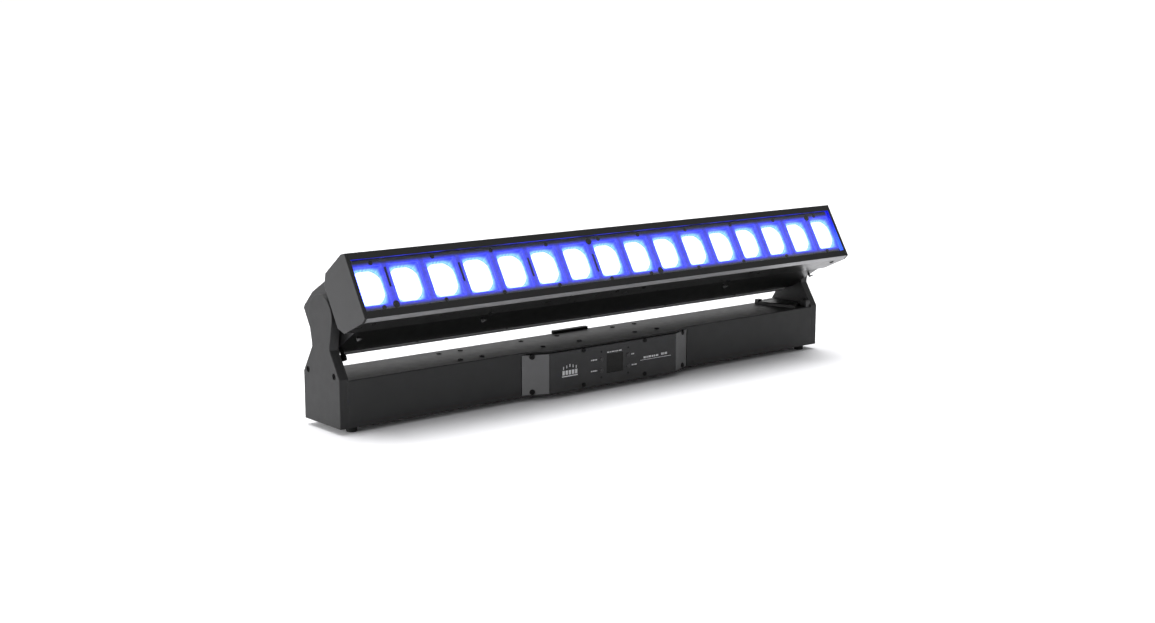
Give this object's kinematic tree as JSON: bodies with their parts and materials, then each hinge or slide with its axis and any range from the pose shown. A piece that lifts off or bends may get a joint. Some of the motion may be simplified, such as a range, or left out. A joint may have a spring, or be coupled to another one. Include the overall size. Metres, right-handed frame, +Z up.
{
  "type": "led batten light",
  "caption": "Motorised LED batten: a long tilting head with a row of square-cut lenses behind glass, carried by two yoke arms on a slim base with a control panel.",
  "frame": {"origin": "middle of the base underside, at the mouth of the centre mounting thread", "axes": "+X along the batten to the right as seen from the front, -Y out of the front panel, +Z up"},
  "size_m": [1, 0.1918, 0.2625],
  "materials": {
    "black_paint": "fine-textured powder coat",
    "head_paint": "satin powder coat",
    "frame_black": "satin black",
    "panel_grey": "satin dark grey",
    "overlay_film": "matt printed film",
    "button_black": "satin moulded",
    "display_glass": "smoked window",
    "display_body": "dark liquid crystal",
    "black_screws": "black oxide",
    "foot_rubber": "moulded",
    "gasket_rubber": "foam strip",
    "bezel_black": "moulded",
    "lens_glass": "clear polished",
    "window_glass": "clear polished",
    "led": "lit dome",
    "circuit_board": "solder mask",
    "white_board": "metal-core board",
    "aluminium": "extruded",
    "steel": "ground",
    "zinc_insert": "zinc plated",
    "motor_case": "black laminated case",
    "belt_rubber": "toothed belt",
    "cover_black": "moulded",
    "socket_blue": "moulded",
    "socket_grey": "moulded",
    "socket_black": "moulded"
  },
  "bodies": {
    "base": {"base_housing": "black_paint", "base_bottom_plate": "black_paint", "base_screws": "black_screws", "yoke_arms": "black_paint", "arm_covers": "black_paint", "tilt_bearings": "steel", "cable_cover": "cover_black", "corner_boss": "cover_black", "rubber_feet": "foot_rubber", "mounting_inserts": "zinc_insert", "rear_safety_bracket": "black_screws", "rear_connector_plate": "black_paint", "power_inlet": "socket_blue", "power_outlet": "socket_grey", "data_inlet": "socket_black", "data_outlet": "socket_black", "network_ports": "socket_black", "panel_housing": "panel_grey", "panel_overlay": "overlay_film", "panel_gasket": "gasket_rubber", "panel_screws": "black_screws", "display_window": "display_glass", "display_module": "display_body", "control_board": "circuit_board", "driver_board": "circuit_board", "power_supply": "zinc_insert", "tilt_motor": "motor_case", "tilt_belt": "belt_rubber"},
    "motor_drive": {"tilt_motor_pulley": "aluminium"},
    "head": {"end_caps": "head_paint", "head_front_housing": "head_paint", "head_body_panels": "head_paint", "head_side_plates": "head_paint", "rear_cover": "head_paint", "head_screws": "black_screws", "front_frame_rails": "frame_black", "front_frame_ends": "frame_black", "front_glass": "window_glass", "glass_gasket": "gasket_rubber", "lens_bezels": "bezel_black", "heat_sink": "aluminium", "led_board": "white_board", "led_emitters": "led", "light_mixers": "lens_glass", "mixer_plate": "aluminium", "zoom_guide_rods": "steel", "zoom_motors": "motor_case", "fan_frames": "motor_case", "tilt_shafts": "steel", "tilt_pulley": "aluminium"},
    "zoom_carriage": {"lens_carrier": "aluminium", "lenses": "lens_glass"},
    "left_lead_screw": {"left_zoom_screw": "steel"},
    "right_lead_screw": {"right_zoom_screw": "steel"},
    "left_fan": {"left_fan_rotor": "motor_case"},
    "right_fan": {"right_fan_rotor": "motor_case"},
    "upper_left_button": {"button_upper_left": "button_black"},
    "lower_left_button": {"button_lower_left": "button_black"},
    "upper_right_button": {"button_upper_right": "button_black"},
    "lower_right_button": {"button_lower_right": "button_black"}
  },
  "joints": [
    {"name": "head_tilt", "type": "hinge", "parent": "base", "child": "head", "pos_m": [0, 0, 0.156], "axis": [-1, 0, 0], "range_deg": [-45.5, 164.5]},
    {"name": "tilt_motor_turn", "type": "hinge", "parent": "base", "child": "motor_drive", "pos_m": [-0.494, 0, 0.031], "axis": [-1, 0, 0], "range_deg": [-137, 494]},
    {"name": "zoom_travel", "type": "slide", "parent": "head", "child": "zoom_carriage", "axis": [0, -0.8616, 0.5075], "range_m": [-0.02, 0]},
    {"name": "left_screw_turn", "type": "hinge", "parent": "head", "child": "left_lead_screw", "pos_m": [-0.1878, -0.04661, 0.22465], "axis": [0, -0.8616, 0.5075], "range_deg": [-901, 1]},
    {"name": "right_screw_turn", "type": "hinge", "parent": "head", "child": "right_lead_screw", "pos_m": [0.1878, -0.04661, 0.22465], "axis": [0, -0.8616, 0.5075], "range_deg": [-901, 1]},
    {"name": "left_fan_spin", "type": "hinge", "parent": "head", "child": "left_fan", "pos_m": [-0.24, 0.04739, 0.12809], "axis": [0, -0.8616, 0.5075], "continuous": true},
    {"name": "right_fan_spin", "type": "hinge", "parent": "head", "child": "right_fan", "pos_m": [0.24, 0.04739, 0.12809], "axis": [0, -0.8616, 0.5075], "continuous": true},
    {"name": "upper_left_press", "type": "slide", "parent": "base", "child": "upper_left_button", "axis": [0, 1, 0], "range_m": [0, 0.001], "stiffness_N_per_m": 900},
    {"name": "lower_left_press", "type": "slide", "parent": "base", "child": "lower_left_button", "axis": [0, 1, 0], "range_m": [0, 0.001], "stiffness_N_per_m": 900},
    {"name": "upper_right_press", "type": "slide", "parent": "base", "child": "upper_right_button", "axis": [0, 1, 0], "range_m": [0, 0.001], "stiffness_N_per_m": 900},
    {"name": "lower_right_press", "type": "slide", "parent": "base", "child": "lower_right_button", "axis": [0, 1, 0], "range_m": [0, 0.001], "stiffness_N_per_m": 900}
  ],
  "couplings": [
    {"joint": "tilt_motor_turn", "follows": "head_tilt", "ratio": 3},
    {"joint": "left_screw_turn", "follows": "zoom_travel", "rad_per_m": 785.4},
    {"joint": "right_screw_turn", "follows": "zoom_travel", "rad_per_m": 785.4}
  ]
}
